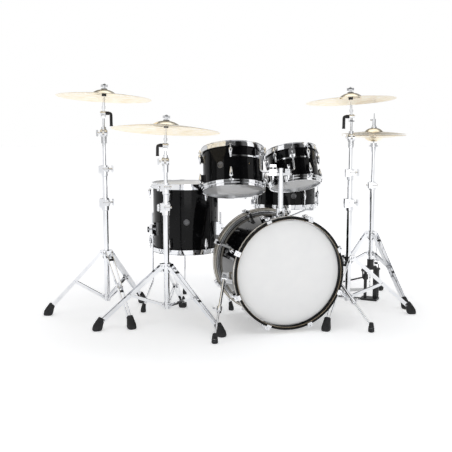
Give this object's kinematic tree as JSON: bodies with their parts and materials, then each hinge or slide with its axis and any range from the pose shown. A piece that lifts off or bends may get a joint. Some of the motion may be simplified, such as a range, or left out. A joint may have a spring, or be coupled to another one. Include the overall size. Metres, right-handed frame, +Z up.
{
  "type": "acoustic drum kit",
  "caption": "Acoustic drum kit with bass drum, mounted toms, floor tom, snare, hi-hat, crash and ride cymbals on tripod stands, and pedals.",
  "frame": {"origin": "on the floor below the middle of the whole kit's box", "axes": "+Z up; the bass drum's front looks along -Y; +X to the right seen from the front, along the kit's longest side"},
  "size_m": [2.0166, 1.1747, 1.2058],
  "materials": {
    "black_lacquer": "high-gloss black lacquer over maple ply",
    "chrome": "polished chrome plate",
    "cymbal_bronze": "lathed bronze, brilliant",
    "coated_head": "white coated polyester film",
    "black_hoop": "black lacquered maple hoop with a pale inlay",
    "rubber": "moulded black rubber",
    "black_casting": "satin black powder coat",
    "satin_alloy": "satin cast alloy",
    "steel_wire": "coiled steel wire"
  },
  "bodies": {
    "kit": {"bass_shell": "black_lacquer", "bass_heads": "coated_head", "bass_hoops": "black_hoop", "bass_lugs": "chrome", "bass_claws": "chrome", "bass_brackets": "chrome", "floor_tom_legs": "chrome", "snare_stand": "chrome", "kick_pedal_base": "black_casting", "hihat_legs": "chrome", "hihat_pedal_base": "black_casting", "rubber_feet": "rubber", "crash_left_stand": "chrome", "ride_stand": "chrome", "crash_right_stand": "chrome"},
    "spur_left": {"spur_left": "chrome"},
    "spur_right": {"spur_right": "chrome"},
    "holder_post": {"tom_holder_post": "chrome"},
    "floor_tom": {"floor_tom_shell": "black_lacquer", "floor_tom_heads": "coated_head", "floor_tom_hoops": "chrome", "floor_tom_lugs": "chrome", "floor_tom_brackets": "chrome"},
    "snare_tube": {"snare_stand_tube": "chrome"},
    "snare_drum": {"snare_basket": "chrome", "snare_shell": "black_lacquer", "snare_heads": "coated_head", "snare_hoops": "chrome", "snare_lugs": "chrome", "snare_wires": "steel_wire", "snare_throw_off": "chrome"},
    "snare_lever": {"snare_lever": "chrome"},
    "kick_footboard": {"kick_footboard": "satin_alloy"},
    "kick_beater": {"kick_beater": "chrome"},
    "hihat_footboard": {"hihat_footboard": "satin_alloy"},
    "hihat_tube": {"hihat_tube": "chrome", "hihat_bottom_cymbal": "cymbal_bronze"},
    "hihat_rod": {"hihat_rod": "chrome", "hihat_top_cymbal": "cymbal_bronze"},
    "tom12": {"tom12_arm": "chrome", "tom12_shell": "black_lacquer", "tom12_heads": "coated_head", "tom12_hoops": "chrome", "tom12_lugs": "chrome", "tom12_suspension": "chrome"},
    "tom10": {"tom10_arm": "chrome", "tom10_shell": "black_lacquer", "tom10_heads": "coated_head", "tom10_hoops": "chrome", "tom10_lugs": "chrome", "tom10_suspension": "chrome"},
    "crash_left_upper": {"crash_left_upper": "chrome"},
    "crash_left_tilter": {"crash_left_tilter": "chrome"},
    "crash_left_cymbal": {"crash_left_cymbal": "cymbal_bronze"},
    "ride_upper": {"ride_upper": "chrome"},
    "ride_tilter": {"ride_tilter": "chrome"},
    "ride_cymbal": {"ride_cymbal": "cymbal_bronze"},
    "crash_right_upper": {"crash_right_upper": "chrome"},
    "crash_right_tilter": {"crash_right_tilter": "chrome"},
    "crash_right_cymbal": {"crash_right_cymbal": "cymbal_bronze"}
  },
  "joints": [
    {"name": "spur_left_fold", "type": "hinge", "parent": "kit", "child": "spur_left", "pos_m": [-0.14, -0.3275, 0.25], "axis": [-0.9527, 0.226, 0.203], "range_deg": [0, 45]},
    {"name": "spur_right_fold", "type": "hinge", "parent": "kit", "child": "spur_right", "pos_m": [0.43, -0.3275, 0.25], "axis": [-0.9527, -0.226, -0.203], "range_deg": [0, 45]},
    {"name": "tom_holder_height", "type": "slide", "parent": "kit", "child": "holder_post", "axis": [0, 0, 1], "range_m": [-0.025, 0.025]},
    {"name": "tom12_tilt", "type": "hinge", "parent": "holder_post", "child": "tom12", "pos_m": [0.105, -0.3325, 0.77], "axis": [-0.9494, 0.3141, 0], "range_deg": [-8, 10]},
    {"name": "tom10_tilt", "type": "hinge", "parent": "holder_post", "child": "tom10", "pos_m": [0.185, -0.3325, 0.77], "axis": [0.5795, 0.815, 0], "range_deg": [-8, 10]},
    {"name": "floor_tom_height", "type": "slide", "parent": "kit", "child": "floor_tom", "axis": [0, 0, 1], "range_m": [-0.05, 0.04]},
    {"name": "snare_stand_height", "type": "slide", "parent": "kit", "child": "snare_tube", "axis": [0, 0, 1], "range_m": [-0.02, 0.05]},
    {"name": "snare_basket_tilt", "type": "hinge", "parent": "snare_tube", "child": "snare_drum", "pos_m": [0.40813, 0.38599, 0.42805], "axis": [0.9703, -0.2419, 0], "range_deg": [-6, 4]},
    {"name": "snare_lever_release", "type": "hinge", "parent": "snare_drum", "child": "snare_lever", "pos_m": [0.21014, 0.40873, 0.59277], "axis": [-0.0956, -0.9951, 0.0259], "range_deg": [-10, 20]},
    {"name": "crash_left_height", "type": "slide", "parent": "kit", "child": "crash_left_upper", "axis": [0, 0, 1], "range_m": [-0.04, 0.1]},
    {"name": "crash_left_tilt", "type": "hinge", "parent": "crash_left_upper", "child": "crash_left_tilter", "pos_m": [-0.676, 0.0685, 1.055], "axis": [0.9703, -0.2419, 0], "range_deg": [-15, 20]},
    {"name": "crash_left_rock", "type": "hinge", "parent": "crash_left_tilter", "child": "crash_left_cymbal", "pos_m": [-0.66903, 0.07524, 1.1726], "axis": [0.9686, -0.2446, -0.0434], "range_deg": [-4, 4], "stiffness_Nm_per_rad": 5},
    {"name": "ride_height", "type": "slide", "parent": "kit", "child": "ride_upper", "axis": [0, 0, 1], "range_m": [-0.005, 0.1]},
    {"name": "ride_tilt", "type": "hinge", "parent": "ride_upper", "child": "ride_tilter", "pos_m": [-0.401, -0.1855, 0.897], "axis": [0.9703, -0.2419, 0], "range_deg": [-4, 12]},
    {"name": "ride_rock", "type": "hinge", "parent": "ride_tilter", "child": "ride_cymbal", "pos_m": [-0.3933, -0.17578, 1.01435], "axis": [0.9684, -0.2457, -0.0432], "range_deg": [-4, 4], "stiffness_Nm_per_rad": 5},
    {"name": "crash_right_height", "type": "slide", "parent": "kit", "child": "crash_right_upper", "axis": [0, 0, 1], "range_m": [-0.04, 0.1]},
    {"name": "crash_right_tilt", "type": "hinge", "parent": "crash_right_upper", "child": "crash_right_tilter", "pos_m": [0.554, -0.2335, 1.038], "axis": [0.9703, -0.2419, 0], "range_deg": [-15, 20]},
    {"name": "crash_right_rock", "type": "hinge", "parent": "crash_right_tilter", "child": "crash_right_cymbal", "pos_m": [0.55001, -0.22403, 1.15555], "axis": [0.9699, -0.2381, 0.0521], "range_deg": [-4, 4], "stiffness_Nm_per_rad": 5},
    {"name": "kick_press", "type": "hinge", "parent": "kit", "child": "kick_footboard", "pos_m": [0.145, 0.2775, 0.024], "axis": [1, 0, 0], "range_deg": [0, 11], "stiffness_Nm_per_rad": 12, "springref_deg": -11.46},
    {"name": "kick_beat", "type": "hinge", "parent": "kit", "child": "kick_beater", "pos_m": [0.145, 0.0095, 0.232], "axis": [1, 0, 0], "range_deg": [0, 51]},
    {"name": "hihat_press", "type": "hinge", "parent": "kit", "child": "hihat_footboard", "pos_m": [0.60617, 0.22742, 0.024], "axis": [0.6293, 0.7771, 0], "range_deg": [0, 1.2], "stiffness_Nm_per_rad": 40, "springref_deg": -11.46},
    {"name": "hihat_close", "type": "slide", "parent": "kit", "child": "hihat_rod", "axis": [0, 0, 1], "range_m": [-0.0055, 0], "stiffness_N_per_m": 300, "springref_m": 0.05},
    {"name": "hihat_height", "type": "slide", "parent": "kit", "child": "hihat_tube", "axis": [0, 0, 1], "range_m": [-0.08, 0]}
  ],
  "couplings": [
    {"joint": "kick_beat", "follows": "kick_press", "ratio": 4.6364},
    {"joint": "hihat_close", "follows": "hihat_press", "m_per_rad": -0.24828}
  ]
}
